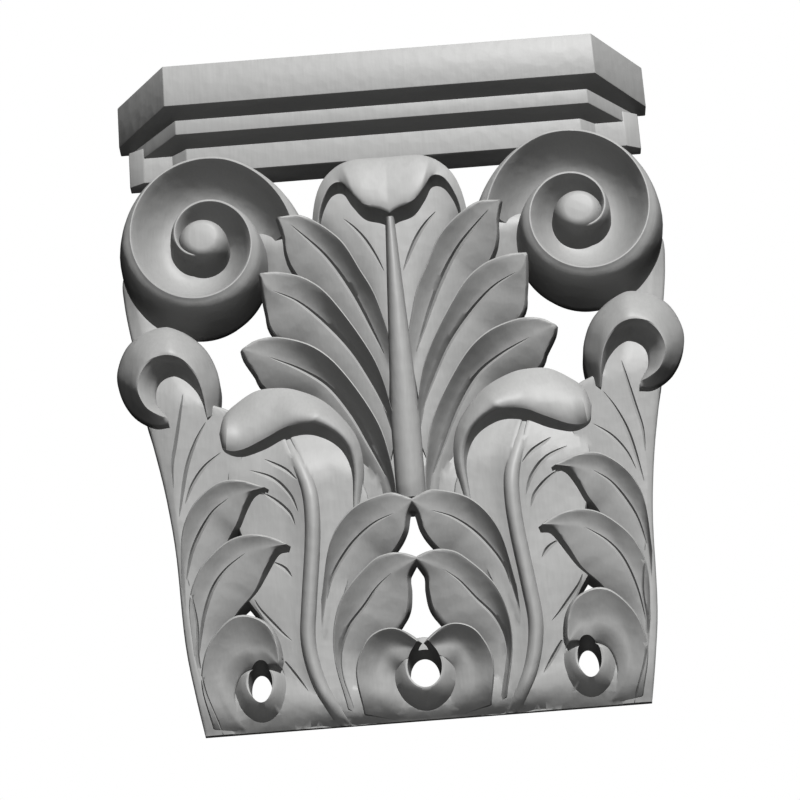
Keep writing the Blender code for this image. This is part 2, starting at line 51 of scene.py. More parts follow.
# %% [markdown]
# The sizes come first, in millimetres, as on a carver's drawing. The abacus has three steps. The
# volutes are spirals about a knob. The bottom of the block is cut flat, and the front rolls back to it.

# %% Sizes of the block
STEP_HEIGHTS = (23.0, 8.0, 14.0)
STEP_FRONT_HALF_WIDTHS = (107.5, 103.5, 99.6)
STEP_END_HALF_WIDTHS = (134.0, 129.5, 118.5)
ABACUS_DEPTH = 47.0
STEP_SETBACK = 15.3
FIRST_STEP_RETURN = 9.1
ABACUS_HEIGHT = sum(STEP_HEIGHTS)
EDGE_EASE = 0.45
BOTTOM = 339.0
FOOT_ROLL = 14.0
FOOT_EDGE = 1.2
BEHIND_WALL = 6.0
print("the block is", 2 * STEP_END_HALF_WIDTHS[0], "by", BOTTOM, "mm")

# %% Sizes of the volutes and eyes
VOLUTE_CENTRE_X = 92.5
VOLUTE_CENTRE_DOWN = 95.2
VOLUTE_START_RADIUS = 46.4
VOLUTE_SHRINK_PER_TURN = 22.0
VOLUTE_TALLER = 1.1
VOLUTE_START_ANGLE = 8.0
VOLUTE_END_ANGLE = 620.0
VOLUTE_RIM_OUT = 41.0
RIM_START_DIP = 6.0
RIM_START_TURN = 70.0
VOLUTE_CHANNEL_DEPTH = 18.0
VOLUTE_WALL_FLARE = 7.0
VOLUTE_UNDERCUT = 7.0
VOLUTE_UNDERCUT_OUT = 14.0
VOLUTE_KNOB_RADIUS = 12.4
VOLUTE_KNOB_OUT = 43.0
KNOB_FLAT = 6.5
KNOB_DROP = 11.0
CENTRE_EYE = dict(x=0.0, down=317.0, wide=8.0, high=10.4, ring_wide=15.0, ring_high=18.5, out=13.0)
CORNER_EYE = dict(x=77.5, down=318.5, wide=5.6, high=9.8, ring_wide=12.5, ring_high=16.5, out=12.0)

# %% [markdown]
# A carving is drawn as it is seen. Each curve here is set out in perspective on a board that stands
# square to the line of sight of a person below it: x across from the middle, s down the board, and h,
# how far the finished point stands out from the wall. One function turns such a point into its real
# place. Another way would be to give each point its height on the wall, but then the curves would not
# look right to that person, and the carver draws them to look right.

# %% The drawing board
VIEW = math.radians(25.0)
BOARD_START = 25.1
EYE_OUT = 1527.0
EYE_DOWN = 884.0


def place(x, down, out):
    """A point in metres from millimetres across, down from the top and out from the wall."""
    if out > 0:
        into = min(max((down - (BOTTOM - FOOT_ROLL)) / FOOT_ROLL, 0.0), 1.0)
        out = max(out * math.sqrt(1 - into ** 2), FOOT_EDGE)
    return Vector((x / 1000, -out / 1000, (ABACUS_HEIGHT / 2 - down) / 1000))


def seen(x, s, h):
    """The point at h out from the wall that the eye sees behind (x, s) on the board."""
    across = (s + BOARD_START) * math.cos(VIEW)
    board_out, board_down = ABACUS_DEPTH - across * math.sin(VIEW), across * math.cos(VIEW)
    t = (EYE_OUT - h) / (EYE_OUT - board_out)
    return place(x * t, EYE_DOWN + (board_down - EYE_DOWN) * t, h)


example = seen(50, 100, 30)
print("a point on the board at (50, 100), 30 out, stands at", tuple(round(c, 4) for c in example))

# %% [markdown]
# Now the drawing itself. Each leaf lobe has a top edge, a vein and a lower edge, from its tip to its
# root. Broad sheets of leaf lie behind the lobes. The knots are few, and a smooth curve runs through
# them, so a change to one knot bends the whole edge.

# %% Lobes of the front leaf
LOBES = {
    "leaf_lobe_1": (
        [(56.1, 62.6, 40), (42.6, 63.2, 39), (26, 76.8, 37.5), (16.7, 94.8, 35.5), (9.8, 110.8, 34),
         (3, 140, 31.5)],
        [(56.1, 62.6, 40), (48, 68.8, 36.5), (33.7, 86.1, 33), (22.1, 107, 31.5), (12.7, 130.5, 30.5),
         (6, 152, 28.5)],
        [(56.1, 62.6, 40), (53.6, 73.4, 39), (53, 83.3, 37.5), (49.3, 94.7, 35.5), (34, 120, 31.5),
         (8, 175, 27)],
    ),
    "leaf_lobe_2": (
        [(66.7, 92.7, 36.5), (57.2, 92.9, 36.5), (43.5, 98, 35.5), (30.9, 111.3, 35),
         (12.8, 145.5, 33.5), (5, 180, 29.5)],
        [(66.7, 92.7, 36.5), (62.9, 101.9, 33.5), (48.9, 110.3, 31.5), (36.3, 123.5, 30),
         (14.8, 159.7, 28.5), (6, 190, 27)],
        [(66.7, 92.7, 36.5), (66.4, 101.6, 35.5), (65.2, 113.8, 34), (62.2, 127.4, 32), (44, 148, 28),
         (10, 205, 23.5)],
    ),
    "leaf_lobe_3": (
        [(78.7, 133.7, 33), (71.3, 129.4, 33.5), (59.7, 128.7, 34), (43.1, 135.1, 34), (29.6, 149.5, 33),
         (14.1, 178.5, 30.5), (8.4, 204.5, 27), (7, 228, 23.5)],
        [(78.7, 133.7, 33), (65.5, 139.3, 29.5), (50.1, 147.8, 28), (37.3, 158.3, 27), (26.9, 174.7, 26),
         (19.1, 192.5, 25), (11.8, 210.3, 23.5), (8, 230, 22)],
        [(78.7, 133.7, 33), (77.5, 139.3, 32), (72.7, 148.6, 30.5), (68.7, 156.7, 28.5), (50, 172, 23.5),
         (30, 196, 22), (16, 222, 20), (9, 234, 20)],
    ),
}

# %% Lobes of the leaf below it
LOBES.update({
    "inner_lobe_1": (
        [(-0.6, 223.8, 26), (4.6, 220.9, 26.5), (12.5, 219.1, 27), (30, 225.9, 26), (42.3, 243.6, 23.5),
         (49, 275, 18.5)],
        [(-0.6, 223.8, 26), (9.2, 230.4, 22.5), (19.6, 235.1, 22), (29.7, 243.6, 21),
         (43.3, 264.6, 18.5), (50, 292, 15.5)],
        [(-0.6, 223.8, 26), (2.8, 231.5, 25), (5, 241.3, 24.5), (10.7, 251.3, 22.5), (25, 268, 17.5),
         (48, 305, 13)],
    ),
    "inner_lobe_2": (
        [(-0.6, 256, 23.5), (6.3, 252.8, 24.5), (13.8, 252.2, 25), (23.7, 256.9, 24.5), (39.5, 276, 22),
         (44.9, 302.6, 17.5), (40, 335, 11.5)],
        [(-0.6, 256, 23.5), (13.1, 263.3, 19), (20.6, 270.4, 18.5), (27.8, 280.3, 17.5),
         (36.6, 291.7, 16.5), (41, 312, 14), (36, 338, 9.5)],
        [(-0.6, 256, 23.5), (4.7, 265.7, 22), (4.8, 274.5, 21), (6.1, 284.9, 20), (11.2, 293.9, 18.5),
         (26, 312, 11.5), (30, 338, 9.5)],
    ),
    "inner_lobe_3": (
        [(-0.6, 309, 19), (2.7, 301.3, 21), (12.7, 293.8, 22), (22.3, 294.6, 22), (29.3, 301.2, 21),
         (34.5, 316, 17.5), (32, 338, 11.5)],
        [(-0.6, 309, 19), (8, 305, 15.5), (17, 306, 14), (22, 313, 12), (24, 323, 11.5), (22, 333, 10.5),
         (18, 342, 8)],
        [(-0.6, 309, 19), (6, 310.5, 15.5), (11, 313.5, 13), (13.8, 320, 8.5), (13, 328, 7.5),
         (8, 336, 6), (2, 343, 4.5)],
    ),
})

# %% Lobes of the corner leaf
LOBES.update({
    "corner_lobe_1": (
        [(73, 210.6, 23.5), (84.7, 205.7, 24.5), (95.3, 205.9, 24.5), (105.8, 213.3, 23.5),
         (112.6, 223.2, 22), (116.5, 236.7, 19), (118, 262, 15.5)],
        [(73, 210.6, 23.5), (91.4, 215.1, 20), (101, 223.7, 18.5), (110.8, 241.1, 17),
         (115.5, 258.4, 15), (116.5, 280, 12)],
        [(73, 210.6, 23.5), (78.6, 211.6, 22.5), (83.8, 220.2, 22), (88, 230.3, 21), (92.5, 238.2, 19),
         (104, 262, 15), (114, 295, 10.5)],
    ),
    "corner_lobe_2": (
        [(64.3, 242.9, 22), (70, 239, 22.5), (80.4, 235.9, 23), (91.5, 237.8, 22.5), (101.6, 245.2, 22),
         (109.8, 255.5, 20), (115, 272, 16.5), (114.5, 300, 12)],
        [(64.3, 242.9, 22), (75, 244, 19), (85, 246, 18), (95.7, 254.6, 16.5), (103, 265, 15.5),
         (108.6, 281, 13.5), (112, 300, 11.5), (111, 325, 8.5)],
        [(64.3, 242.9, 22), (69.5, 245.4, 21), (75.8, 256.3, 20), (81.6, 268.5, 18.5),
         (91.5, 279.8, 15.5), (101, 296, 11.5), (106, 320, 8.5)],
    ),
    "corner_lobe_3": (
        [(72.9, 308.5, 18.5), (72.1, 304.2, 20), (73.8, 292.9, 22), (78.3, 284.8, 22.5),
         (86.5, 280.2, 22.5), (94.6, 281.2, 22), (103.2, 289.3, 20), (109.5, 301, 17.5), (112, 318, 13),
         (108, 340, 8.5)],
        [(72.9, 308.5, 18.5), (77, 303, 17.5), (82, 299, 15.5), (89, 299, 15), (96, 303, 14),
         (101, 311, 12), (102, 322, 10.5), (99, 333, 8.5), (92, 343, 7)],
        [(72.9, 308.5, 18.5), (77, 309, 15.5), (82, 309.5, 13), (88, 311, 9.5), (93, 316, 8.5),
         (95.5, 324, 7.5), (94, 333, 6.5), (88, 341, 5)],
    ),
})
print("lobes on each half:", len(LOBES))

# %% Sheets of leaf behind the lobes
SHEETS = {
    "leaf_top": (
        [(38.1, 64.1, 30), (35.9, 53.3, 31), (29, 45, 30), (20, 45, 29), (-3, 52, 29)],
        [(34, 80, 21), (27, 74, 26), (19, 70, 28), (12, 72, 28.5), (-3, 80, 28.5)],
        [(28, 96, 17), (20, 106, 18), (12, 122, 20), (7, 140, 22), (-3, 156, 22)],
    ),
    "mid_leaf_outer": (
        [(62, 180, 16), (56, 200, 22), (51.5, 215, 22), (51.5, 240, 19), (55, 275, 15.5), (56, 300, 13),
         (51, 325, 10.5), (38, 349, 7)],
        [(74, 182, 15), (70, 203, 18.5), (66, 220, 17.5), (64, 245, 15.5), (66, 270, 14),
         (64, 297, 11.5), (60, 322, 8.5), (52, 349, 6)],
        [(87, 184, 13), (91, 206, 15.5), (89, 226, 14), (85, 245, 14), (88, 266, 13), (79, 284, 11),
         (74, 300, 10), (70, 322, 8), (66, 349, 6)],
    ),
    "mid_leaf_inner": (
        [(60, 180, 14), (53, 200, 22.5), (50.5, 215, 22), (50.5, 240, 19), (53, 275, 15.5),
         (54, 300, 13), (50, 325, 10.5), (36, 349, 7)],
        [(48, 178, 13), (42, 200, 20), (39, 213, 19), (40, 232, 17.5), (44, 262, 15), (47, 292, 12),
         (44, 320, 9.5), (30, 349, 6)],
        [(38, 180, 12), (29, 200, 18.5), (22, 218, 18.5), (22, 232, 17), (30, 255, 14), (40, 285, 12),
         (38, 318, 8.5), (24, 349, 6)],
    ),
    "heart": (
        [(-3, 168, 12), (14, 172, 12), (30, 186, 10), (50, 202, 10)],
        [(-3, 200, 19), (12, 208, 17), (30, 218, 14), (50, 228, 13)],
        [(-3, 217, 13), (10, 230, 12), (24, 258, 10), (50, 285, 9)],
    ),
    "corner_leaf": (
        [(128, 145, 14), (131, 158, 16), (127.5, 178, 15), (124, 200, 13), (121.5, 220, 12),
         (119.5, 246, 11.5), (118.5, 292, 9.5), (115.5, 321, 8), (111.5, 349, 5)],
        [(115, 138, 14), (112, 156, 19.5), (114, 178, 17.5), (117, 197, 15.5), (118, 215, 14),
         (116.5, 246, 12.5), (115.5, 292, 10.5), (112, 321, 8.5), (106, 349, 6)],
        [(103, 147, 14), (96, 164, 18.5), (84, 168, 18), (81, 188, 16.5), (88, 207, 14), (99, 230, 11.5),
         (106, 270, 9), (104, 320, 7.5), (96, 349, 6)],
    ),
    "shoulder": (
        [(53, 58, 8), (51, 67, 16), (49, 75, 23), (49, 88, 21.5), (50, 104, 17)],
        [(59, 58, 8), (59, 66, 16), (58.5, 75, 21.5), (58.5, 88, 19.5), (58, 104, 15)],
        [(70, 58, 8), (69, 66, 15), (68, 75, 20), (66, 88, 17), (64, 104, 14)],
    ),
    "foot": (
        [(-3, 328, 6.5), (30, 326, 8), (58, 312, 8), (72, 300, 8), (90, 304, 7), (104, 308, 6.5),
         (113, 320, 5)],
        [(-3, 340, 8), (30, 339, 8.5), (58, 331, 9), (70, 326, 9), (86, 326, 8.5), (102, 330, 8),
         (112, 334, 6)],
        [(-3, 350, 6), (30, 350, 6), (55, 350, 6), (70, 350, 6), (86, 350, 6), (100, 350, 6),
         (111, 350, 5)],
    ),
    "stalk": (
        [(131, 82, 12), (135.5, 92, 10.5), (135.5, 105, 9.5), (134, 120, 9.5), (131, 140, 9.5)],
        [(126, 86, 15.5), (130, 96, 14), (129, 107, 13), (127, 121, 12), (122, 140, 12)],
        [(112, 92, 10.5), (116, 102, 10.5), (116, 112, 10.5), (114, 124, 10.5), (110, 140, 10.5)],
    ),
}
print("sheets on each half:", len(SHEETS))

# %% [markdown]
# Five forms are rounder than a lobe. The bean is a leaf tip that has rolled over: its back is a full
# curve, and a fold near its lower edge turns under it. The hook is a tip that curls round on itself
# like a claw, with a bowl inside. The curl crowns the front leaf. Stem and midrib are round ribs.

# %% Rolled and round forms
BEAN_TOP = [(93.4, 179.5, 23.5), (90.2, 169.8, 25), (83.2, 163.2, 27), (73.3, 157.4, 28),
            (62.2, 156.7, 28.5), (53.3, 158.6, 28.5), (41.7, 164.6, 28), (32.4, 174.2, 27),
            (25.6, 185.3, 26), (22.9, 196.6, 24.5), (23.2, 208.2, 22), (26.5, 226, 18.5)]
BEAN_LOW = [(93.4, 179.5, 23.5), (92, 188, 19), (86.5, 194.5, 15.5), (80.1, 196.1, 15),
            (71.9, 194.6, 15.5), (63.5, 189.2, 17.5), (55.2, 184.4, 19), (48.1, 183.4, 20),
            (39.3, 187.5, 20), (32.9, 195.8, 19), (29.7, 207.1, 18.5), (30, 226, 16.5)]
BEAN_FOLD_SHARES = (0.98, 0.95, 0.84, 0.78, 0.69, 0.65, 0.64, 0.60, 0.58, 0.60, 0.68, 0.80)
BEAN_CREST = 3.0
BEAN_UNDERSIDE = 14.0
BEAN_TURN = 0.65
BEAN_FULL_WIDTH = 22.0
HOOK_OUTER = [(118.2, 171.8, 24), (126, 171.9, 21), (135.1, 165.4, 15.5), (140.8, 154.4, 13),
              (141.9, 142.1, 13), (136.5, 128.7, 15), (127.4, 121.2, 17.5), (115.7, 118.4, 19),
              (106, 123.1, 17.5), (97.6, 131.5, 15), (92.8, 141.9, 13), (91.1, 153.1, 13),
              (93.4, 167.8, 14)]
HOOK_RIM = [(118.8, 168, 25), (122.5, 166.6, 28), (128.8, 161.5, 30.5), (132.3, 152, 31.5),
            (130.5, 143.6, 32), (126, 137.3, 33), (120.5, 135, 33), (115, 135, 33), (109.5, 137.5, 32),
            (105, 143, 30.5), (101.8, 149.4, 28.5), (99.8, 159, 25), (98.8, 170, 21)]
HOOK_BOWL = [(118.9, 167.6, 23), (121, 164.5, 22), (123, 160.5, 21.5), (123.6, 154, 21),
             (122.5, 149, 21), (119.8, 145.6, 21), (116.3, 144, 21), (112.8, 144.1, 21),
             (109, 146.3, 21), (105.8, 149.8, 21), (103, 154.6, 20), (100.6, 161.5, 19), (99, 170, 18)]
HOOK_CROWN = 9.0
CURL_TOP = [(-1, 34.4, 40), (9, 34.2, 40), (17, 34.4, 40), (24, 37, 39), (30, 42, 38.5), (34, 48, 37.5),
            (36.8, 56, 36), (38.6, 66, 33.5), (38.8, 74, 31)]
CURL_LIP = [(-1, 66.4, 43.5), (4.5, 63.2, 44), (12.3, 60.3, 44), (18.3, 53.1, 43), (22.3, 46.8, 42),
            (27.5, 47.8, 41), (31.8, 54.5, 39.5), (34.9, 64, 37), (35.6, 74, 34)]
CURL_CROWN = 4.0
STEM = [(69, 168, 8), (62, 182, 13), (56, 197, 22), (51.2, 212.1, 25), (50.2, 227, 25),
        (51.5, 246.3, 23), (55, 275, 19.5), (57, 296.5, 16.5), (54.5, 315.3, 14), (48.8, 331.3, 11.5),
        (38, 350, 8)]
STEM_HALF_WIDTHS = (3.9, 3.9)
STEM_RISE = 4.5
MIDRIB = [(0, 58, 40), (0, 80, 40), (0, 100, 39.5), (0, 140, 36.5), (0, 179, 32), (0, 212, 27.5),
          (0, 222, 25)]
MIDRIB_HALF_WIDTHS = (1.8, 7.4)
MIDRIB_RISE = 6.0

# %% [markdown]
# Two helpers do most of the modelling. The first gives a smooth curve through knots. The second takes
# a flat grid, bends it onto a form, draws its edge back into the wall and closes it there. An edge that
# stands free first flares out a little, as the cut side of a leaf does, and is then undercut. A form
# like this could be sculpted by hand, but a bent grid keeps every edge where the drawing has it.


# %% Smooth curves
def spline(knots, per_span):
    """Points of a curve through the knots, the same number in every span."""
    k = np.array(knots, float)
    k = np.vstack([2 * k[0] - k[1], k, 2 * k[-1] - k[-2]])
    points = []
    for i in range(1, len(k) - 2):
        a, b, c, d = k[i - 1:i + 3]
        for t in np.linspace(0, 1, per_span, endpoint=False):
            points.append(0.5 * (2 * b + (c - a) * t + (2 * a - 5 * b + 4 * c - d) * t ** 2
                                 + (3 * b - a - 3 * c + d) * t ** 3))
    return np.array(points + [k[-2]])


def even(knots, count=161):
    """The same curve with its points spread evenly along it."""
    dense = spline(knots, 20)
    run = np.concatenate([[0], np.cumsum(np.linalg.norm(np.diff(dense[:, :2], axis=0), axis=1))])
    at = np.linspace(0, run[-1], count)
    return np.column_stack([np.interp(at, run, dense[:, i]) for i in range(3)])


def along(line, share):
    """The point at a share of the way along a line of points."""
    at = share * (len(line) - 1)
    i = min(int(at), len(line) - 2)
    return line[i] + (line[i + 1] - line[i]) * (at - i)


# %% Grids bent onto a form
EDGE_THICKNESS = 4.0
made_pieces = []


def keep(mesh, name):
    """Makes an object of a bmesh, with its faces turned outwards."""
    bmesh.ops.remove_doubles(mesh, verts=mesh.verts, dist=1e-5)
    bmesh.ops.dissolve_degenerate(mesh, edges=mesh.edges, dist=1e-6)
    bmesh.ops.recalc_face_normals(mesh, faces=mesh.faces)
    if mesh.calc_volume(signed=True) < 0:
        bmesh.ops.reverse_faces(mesh, faces=mesh.faces)
    data = bpy.data.meshes.new(name)
    mesh.to_mesh(data)
    mesh.free()
    piece = bpy.data.objects.new(name, data)
    scene.collection.objects.link(piece)
    return piece


def bent_grid(name, across, steps, form, ease=True, tuck=None):
    """A closed shell whose front is a grid on form(share along, share across). tuck(share along)
    gives a point, how far in millimetres the back edge is drawn in towards it, as an undercut, and how
    far the edge flares out from it first."""
    mesh = bmesh.new()
    bmesh.ops.create_grid(mesh, x_segments=across, y_segments=steps, size=0.5)
    share_along = {}
    for v in mesh.verts:
        w, u = v.co.x + 0.5, v.co.y + 0.5
        w = 0.5 - 0.5 * math.cos(math.pi * w) if ease else w
        v.co = form(u, w)
        share_along[v.co.to_tuple(7)] = u
    if tuck:
        rim = bmesh.ops.extrude_edge_only(mesh, edges=[e for e in mesh.edges if e.is_boundary])["geom"]
        for v in [v for v in rim if isinstance(v, bmesh.types.BMVert)]:
            u = share_along[v.co.to_tuple(7)]
            goal, _, flare = tuck(u)
            away = Vector((v.co.x - goal[0], 0, v.co.z - goal[2])).normalized()
            v.co += away * (flare / 1000) + Vector((0, EDGE_THICKNESS / 1000, 0))
            share_along[v.co.to_tuple(7)] = u
    edge = [e for e in mesh.edges if e.is_boundary]
    drawn = bmesh.ops.extrude_edge_only(mesh, edges=edge)["geom"]
    for v in drawn:
        if isinstance(v, bmesh.types.BMVert):
            if tuck:
                goal, reach, _ = tuck(share_along[v.co.to_tuple(7)])
                pull = Vector((goal[0] - v.co.x, 0, goal[2] - v.co.z))
                v.co += pull * min(0.92, reach / 1000 / max(pull.length, 1e-6))
            v.co.y = BEHIND_WALL / 1000
    bmesh.ops.holes_fill(mesh, edges=[e for e in mesh.edges if e.is_boundary], sides=0)
    piece = keep(mesh, name)
    made_pieces.append(piece)
    return piece


# %% [markdown]
# The lobes of a leaf lie like shingles. Each one falls from its upper edge to its lower one, which dips
# behind the next lobe, and its two halves sweep down to the vein. The edges are rounded over, which
# draws the thin light line that a carved edge shows.

# %% Lobes and sheets
LOBE_SWEEP = 1.3
EDGE_ROUND = 0.9
EDGE_DROP = 1.1
LOW_EDGE_FALL = {"leaf": 12.0, "inner": 8.0, "corner": 6.0}
LEAST_OUT = 4.0
VEIN_BELOW = 1.2
EYE_LOBES = ("inner_lobe_3", "corner_lobe_3")
TUCK = {"leaf": 15.0, "inner": 10.0, "corner": 5.0}
TUCK_SHARE = 0.6
TIP_LIFT = {"leaf": 0.0, "inner": 1.5, "corner": 4.0}
EDGE_FLARE = {"leaf": 1.2, "inner": 2.0, "corner": 2.0}


def leaf_form(top, vein, low, fall=0.0, lift=0.0):
    """fall lets the lower edge drop behind the next lobe's top edge, and the vein go down between.
    lift raises the tip."""
    edge_a, middle, edge_b = even(top), even(vein), even(low)
    share = np.linspace(0, 1, len(edge_b))
    for line in (edge_a, middle, edge_b):
        line[:, 2] += lift * (1 - share)
    sunk = np.minimum(1.0, 2.6 * share) * (1 - 0.6 * np.clip((share - 0.65) / 0.35, 0, 1))
    if fall:
        edge_b[:, 2] = np.maximum(edge_b[:, 2] - fall * sunk, LEAST_OUT)
        middle[:, 2] = (edge_a[:, 2] + edge_b[:, 2]) / 2 - VEIN_BELOW * np.minimum(1.0, 5 * share)

    def form(u, w):
        vein_point = along(middle, u)
        edge = along(edge_a if w < 0.5 else edge_b, u)
        width = np.linalg.norm((edge - vein_point)[:2])
        far = abs(2 * w - 1)
        point = vein_point + (edge - vein_point) * far
        point[2] = vein_point[2] + (edge[2] - vein_point[2]) * far ** LOBE_SWEEP
        lip = max(0.0, 1 - (1 - far) * width / EDGE_ROUND)
        point[2] -= EDGE_DROP * lip ** 2 * min(1.0, width / 3)
        return seen(*point)

    return form


def leaf_tuck(vein, reach, flare):
    """The free tip of a lobe is undercut: its back edge is drawn in towards the vein."""
    middle = even(vein)

    def tuck(u):
        goal = seen(*along(middle, min(1.0, u + 0.25)))
        free = max(0.0, 1 - u / TUCK_SHARE) ** 0.5
        return goal, reach * free, flare * free

    return tuck


for name, curves in LOBES.items():
    kind = name.split("_")[0]
    fall = 0.0 if name in EYE_LOBES else LOW_EDGE_FALL[kind]
    form = leaf_form(*curves, fall=fall, lift=TIP_LIFT[kind])
    bent_grid(name, 20, 44, form, tuck=leaf_tuck(curves[1], TUCK[kind], EDGE_FLARE[kind]))
for name, curves in SHEETS.items():
    bent_grid(name, 14, 26, leaf_form(*curves))
print("leaf shells:", len(made_pieces), "faces:", sum(len(p.data.polygons) for p in made_pieces))


# %% [markdown]
# The bean, the hook and the curl are padded forms between two edges. Across, each one is a round back,
# and the bean and the hook have a second part that turns under.

# %% Bean, hook and curl
BEAN_BACK = 0.7
HOOK_BACK = 0.66
FULL_CROWN_WIDTH = 20.0
CURL_LIP_ROUND = 1.2
ROLLED_TUCK = 9.0


def dome(t):
    return math.sqrt(max(0.0, 1 - (2 * t - 1) ** 2))


def bean_form(u, w):
    a, b = along(bean_top, u), along(bean_low, u)
    fold = along(bean_fold, u)[0]
    width = np.linalg.norm((a - b)[:2])
    size = min(1.0, width / BEAN_FULL_WIDTH)
    fold_out = b[2] + BEAN_UNDERSIDE * size
    if w < BEAN_BACK:
        t = w / BEAN_BACK
        point = a + (b - a) * fold * t
        start, crest = a[2] - 4 * size, fold_out + BEAN_CREST * size
        point[2] = start + (crest - start) * (1 - (1 - t) ** 2.4) - BEAN_CREST * size * t ** 4
    else:
        t = (w - BEAN_BACK) / (1 - BEAN_BACK)
        point = a + (b - a) * (fold + (1 - fold) * BEAN_TURN * t)
        point[2] = fold_out + (b[2] - fold_out) * t ** 0.9
    return seen(*point)


def bean_tuck(u):
    a, b = along(bean_top, u), along(bean_low, u)
    return seen(*((a + b) / 2)), ROLLED_TUCK * max(0.0, 1 - u / 0.5), 0.0


bean_top, bean_low = spline(BEAN_TOP, 8), spline(BEAN_LOW, 8)
bean_fold = spline([(share, 0, 0) for share in BEAN_FOLD_SHARES], 8)
bent_grid("bean", 30, 77, bean_form, ease=False, tuck=bean_tuck)


def hook_form(u, w):
    a, b, c = along(hook_outer, u), along(hook_rim, u), along(hook_bowl, u)
    if w < HOOK_BACK:
        t = w / HOOK_BACK
        width = np.linalg.norm((a - b)[:2])
        point = a + (b - a) * t
        point[2] += HOOK_CROWN * min(1.0, width / FULL_CROWN_WIDTH) ** 2 * dome(t)
    else:
        t = (w - HOOK_BACK) / (1 - HOOK_BACK)
        point = b + (c - b) * t
        point[2] = b[2] + (c[2] - b[2]) * t ** 1.3
    return seen(*point)


HOOK_MIDDLE = (113, 147, 20)
hook_outer, hook_rim, hook_bowl = spline(HOOK_OUTER, 8), spline(HOOK_RIM, 8), spline(HOOK_BOWL, 8)
bent_grid("hook", 26, 72, hook_form, ease=False,
          tuck=lambda u: (seen(*HOOK_MIDDLE), ROLLED_TUCK * max(0.0, 1 - u / 0.7), 0.0))


def curl_form(u, w):
    a, b = along(curl_top, u), along(curl_lip, u)
    width = np.linalg.norm((a - b)[:2])
    point = a + (b - a) * w
    point[2] += CURL_CROWN * min(1.0, width / FULL_CROWN_WIDTH) ** 2 * dome(w)
    lip = max(0.0, 1 - (1 - w) * width / CURL_LIP_ROUND)
    point[2] -= CURL_LIP_ROUND * lip ** 2
    return seen(*point)


curl_top, curl_lip = spline(CURL_TOP, 8), spline(CURL_LIP, 8)
bent_grid("curl", 20, 64, curl_form)


# %% Stem and midrib
def rib_form(path, half_widths, rise, count=81):
    line = even(path, count)
    way = np.gradient(line[:, :2], axis=0)
    way /= np.linalg.norm(way, axis=1)[:, None]
    table = np.column_stack([line, way])

    def form(u, w):
        x, s, h, way_x, way_s = along(table, u)
        half = half_widths[0] + (half_widths[1] - half_widths[0]) * min(1.0, u * 1.35)
        angle = math.pi * w
        side, lift = math.cos(angle) * half, (math.sin(angle) - 1) * rise
        return seen(x - way_s * side, s + way_x * side, h + lift)

    return form


bent_grid("stem", 12, 70, rib_form(STEM, STEM_HALF_WIDTHS, STEM_RISE), ease=False)
bent_grid("midrib", 14, 60, rib_form(MIDRIB, MIDRIB_HALF_WIDTHS, MIDRIB_RISE), ease=False)
print("shells so far:", [p.name for p in made_pieces[-5:]])

# %% [markdown]
# The volute is one section carried round a spiral: a bulging outer wall, a narrow rim, and a cove
# that falls away towards the middle until the next turn rises out of it. Blender's Screw could turn
# it, but the section narrows as it goes in, so the grid is bent along the spiral instead.


# %% Volute
def spiral_radius(angle):
    return VOLUTE_START_RADIUS - VOLUTE_SHRINK_PER_TURN * angle / 360


def volute_section(angle):
    """Points (radius, out) from the foot of the outer wall to the middle."""
    r = spiral_radius(angle)
    rim = VOLUTE_RIM_OUT - RIM_START_DIP * max(0.0, 1 - angle / RIM_START_TURN)
    upward = max(0.0, math.sin(math.radians(angle)))
    flare = VOLUTE_WALL_FLARE * min(1.0, r / 28) * (1 - 0.8 * upward)
    foot = max(spiral_radius(angle + 360) + 4, 3.0)
    depth = VOLUTE_CHANNEL_DEPTH
    ground = VOLUTE_UNDERCUT_OUT
    wall = [(r + flare * math.cos(a) ** 0.8, ground + (rim - 1.0 - ground) * math.sin(a) ** 0.9)
            for a in np.radians((0, 12, 24, 36, 48, 60, 72, 84))]
    lip = [(r + 0.2, rim - 0.4), (r - 0.3, rim), (r - 0.9, rim), (r - 1.4, rim - 0.6)]
    cove = [(r - 1.4 + (foot - r + 1.4) * t, rim - 0.6 - (depth - 0.6) * math.sin(math.pi / 2 * t) ** 0.9)
            for t in (0.12, 0.26, 0.42, 0.6, 0.8, 1.0)]
    return wall + lip + cove + [(2.0, rim - depth - 0.5)]


def volute_form(start, end):
    def form(u, w):
        angle = start + (end - start) * u
        section = np.array(volute_section(angle))
        radius, out = along(section, w)
        turn = math.radians(angle)
        return place(VOLUTE_CENTRE_X - radius * math.cos(turn),
                     VOLUTE_CENTRE_DOWN - radius * VOLUTE_TALLER * math.sin(turn), out)

    return form


def volute_tuck(start, end):
    """The volute is undercut below and at its sides, and solid above, where it carries the abacus."""
    def tuck(u):
        upward = math.sin(math.radians(start + (end - start) * u))
        return middle, VOLUTE_UNDERCUT * min(1.0, max(0.0, 0.4 - upward)), 0.0

    return tuck


columns = len(volute_section(90.0)) - 1
stops = np.linspace(VOLUTE_START_ANGLE, VOLUTE_END_ANGLE, 5)
middle = place(VOLUTE_CENTRE_X, VOLUTE_CENTRE_DOWN, 0)
for i, (start, end) in enumerate(zip(stops, stops[1:])):
    bent_grid(f"volute_{i + 1}", columns, 51, volute_form(start, end), ease=False,
              tuck=volute_tuck(start, end))
print("volute columns:", columns, "pieces:", len(stops) - 1)
